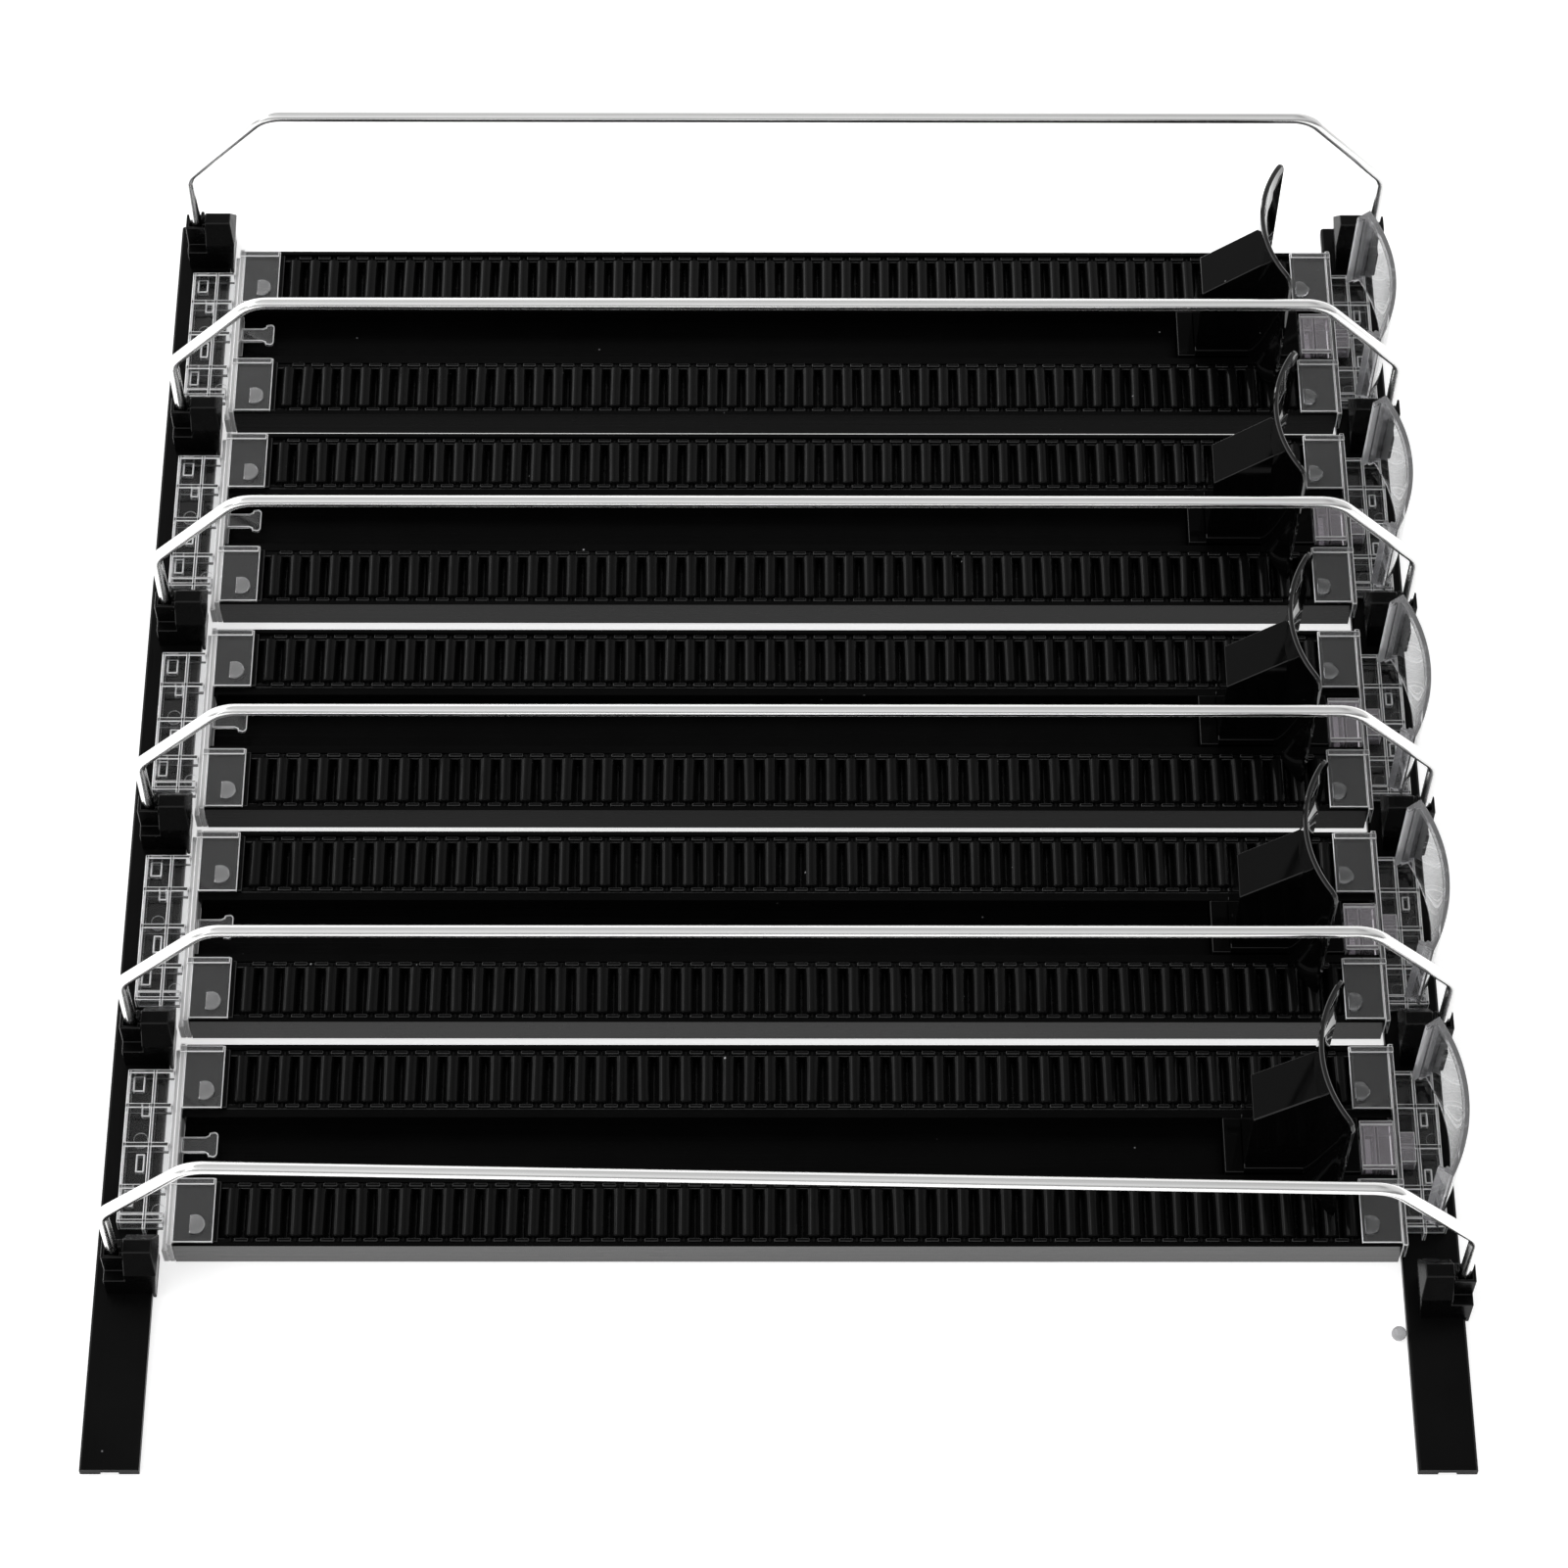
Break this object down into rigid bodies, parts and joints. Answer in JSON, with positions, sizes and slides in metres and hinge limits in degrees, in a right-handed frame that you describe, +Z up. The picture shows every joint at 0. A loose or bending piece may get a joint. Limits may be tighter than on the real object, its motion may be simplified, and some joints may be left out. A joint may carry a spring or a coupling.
{
  "type": "fridge can organizer",
  "caption": "Flat can organizer with side-by-side roller lanes, sprung pushers, clear front stops and bent wire dividers clipped to two cross rails.",
  "frame": {"origin": "middle of the footprint, on the shelf", "axes": "+X along the lanes towards the front stops, +Y across the lanes towards lane 1, +Z up"},
  "size_m": [0.376, 0.4178, 0.0719],
  "materials": {
    "rail_black": "smooth extruded black plastic, soft gloss",
    "track_black": "smooth extruded black plastic, fine lengthwise draw lines",
    "roller_black": "moulded black plastic, satin",
    "clip_black": "moulded black plastic, satin",
    "pusher_black": "moulded black plastic, high gloss",
    "clear_plastic": "clear moulded plastic, polished",
    "bright_wire": "bright plated steel wire",
    "spring_steel": "rolled flat spring steel"
  },
  "bodies": {
    "base": {"rear_rail": "rail_black", "front_rail": "rail_black", "lane_track_1": "track_black", "roller_strip_far_1": "roller_black", "roller_strip_near_1": "roller_black", "rear_connector_1": "clear_plastic", "front_connector_1": "clear_plastic", "front_stop_1": "clear_plastic", "lane_track_2": "track_black", "roller_strip_far_2": "roller_black", "roller_strip_near_2": "roller_black", "rear_connector_2": "clear_plastic", "front_connector_2": "clear_plastic", "front_stop_2": "clear_plastic", "lane_track_3": "track_black", "roller_strip_far_3": "roller_black", "roller_strip_near_3": "roller_black", "rear_connector_3": "clear_plastic", "front_connector_3": "clear_plastic", "front_stop_3": "clear_plastic", "lane_track_4": "track_black", "roller_strip_far_4": "roller_black", "roller_strip_near_4": "roller_black", "rear_connector_4": "clear_plastic", "front_connector_4": "clear_plastic", "front_stop_4": "clear_plastic", "lane_track_5": "track_black", "roller_strip_far_5": "roller_black", "roller_strip_near_5": "roller_black", "rear_connector_5": "clear_plastic", "front_connector_5": "clear_plastic", "front_stop_5": "clear_plastic", "rear_clip_1": "clip_black", "front_clip_1": "clip_black", "divider_wire_1": "bright_wire", "rear_clip_2": "clip_black", "front_clip_2": "clip_black", "divider_wire_2": "bright_wire", "rear_clip_3": "clip_black", "front_clip_3": "clip_black", "divider_wire_3": "bright_wire", "rear_clip_4": "clip_black", "front_clip_4": "clip_black", "divider_wire_4": "bright_wire", "rear_clip_5": "clip_black", "front_clip_5": "clip_black", "divider_wire_5": "bright_wire", "rear_clip_6": "clip_black", "front_clip_6": "clip_black", "divider_wire_6": "bright_wire"},
    "pusher_1": {"pusher_1": "pusher_black", "coil_spring_1": "spring_steel"},
    "pusher_2": {"pusher_2": "pusher_black", "coil_spring_2": "spring_steel"},
    "pusher_3": {"pusher_3": "pusher_black", "coil_spring_3": "spring_steel"},
    "pusher_4": {"pusher_4": "pusher_black", "coil_spring_4": "spring_steel"},
    "pusher_5": {"pusher_5": "pusher_black", "coil_spring_5": "spring_steel"}
  },
  "joints": [
    {"name": "pusher_slide_1", "type": "slide", "parent": "base", "child": "pusher_1", "axis": [1, 0, 0], "range_m": [-0.277, 0], "stiffness_N_per_m": 2, "springref_m": 1},
    {"name": "pusher_slide_2", "type": "slide", "parent": "base", "child": "pusher_2", "axis": [1, 0, 0], "range_m": [-0.277, 0], "stiffness_N_per_m": 2, "springref_m": 1},
    {"name": "pusher_slide_3", "type": "slide", "parent": "base", "child": "pusher_3", "axis": [1, 0, 0], "range_m": [-0.277, 0], "stiffness_N_per_m": 2, "springref_m": 1},
    {"name": "pusher_slide_4", "type": "slide", "parent": "base", "child": "pusher_4", "axis": [1, 0, 0], "range_m": [-0.277, 0], "stiffness_N_per_m": 2, "springref_m": 1},
    {"name": "pusher_slide_5", "type": "slide", "parent": "base", "child": "pusher_5", "axis": [1, 0, 0], "range_m": [-0.277, 0], "stiffness_N_per_m": 2, "springref_m": 1}
  ]
}
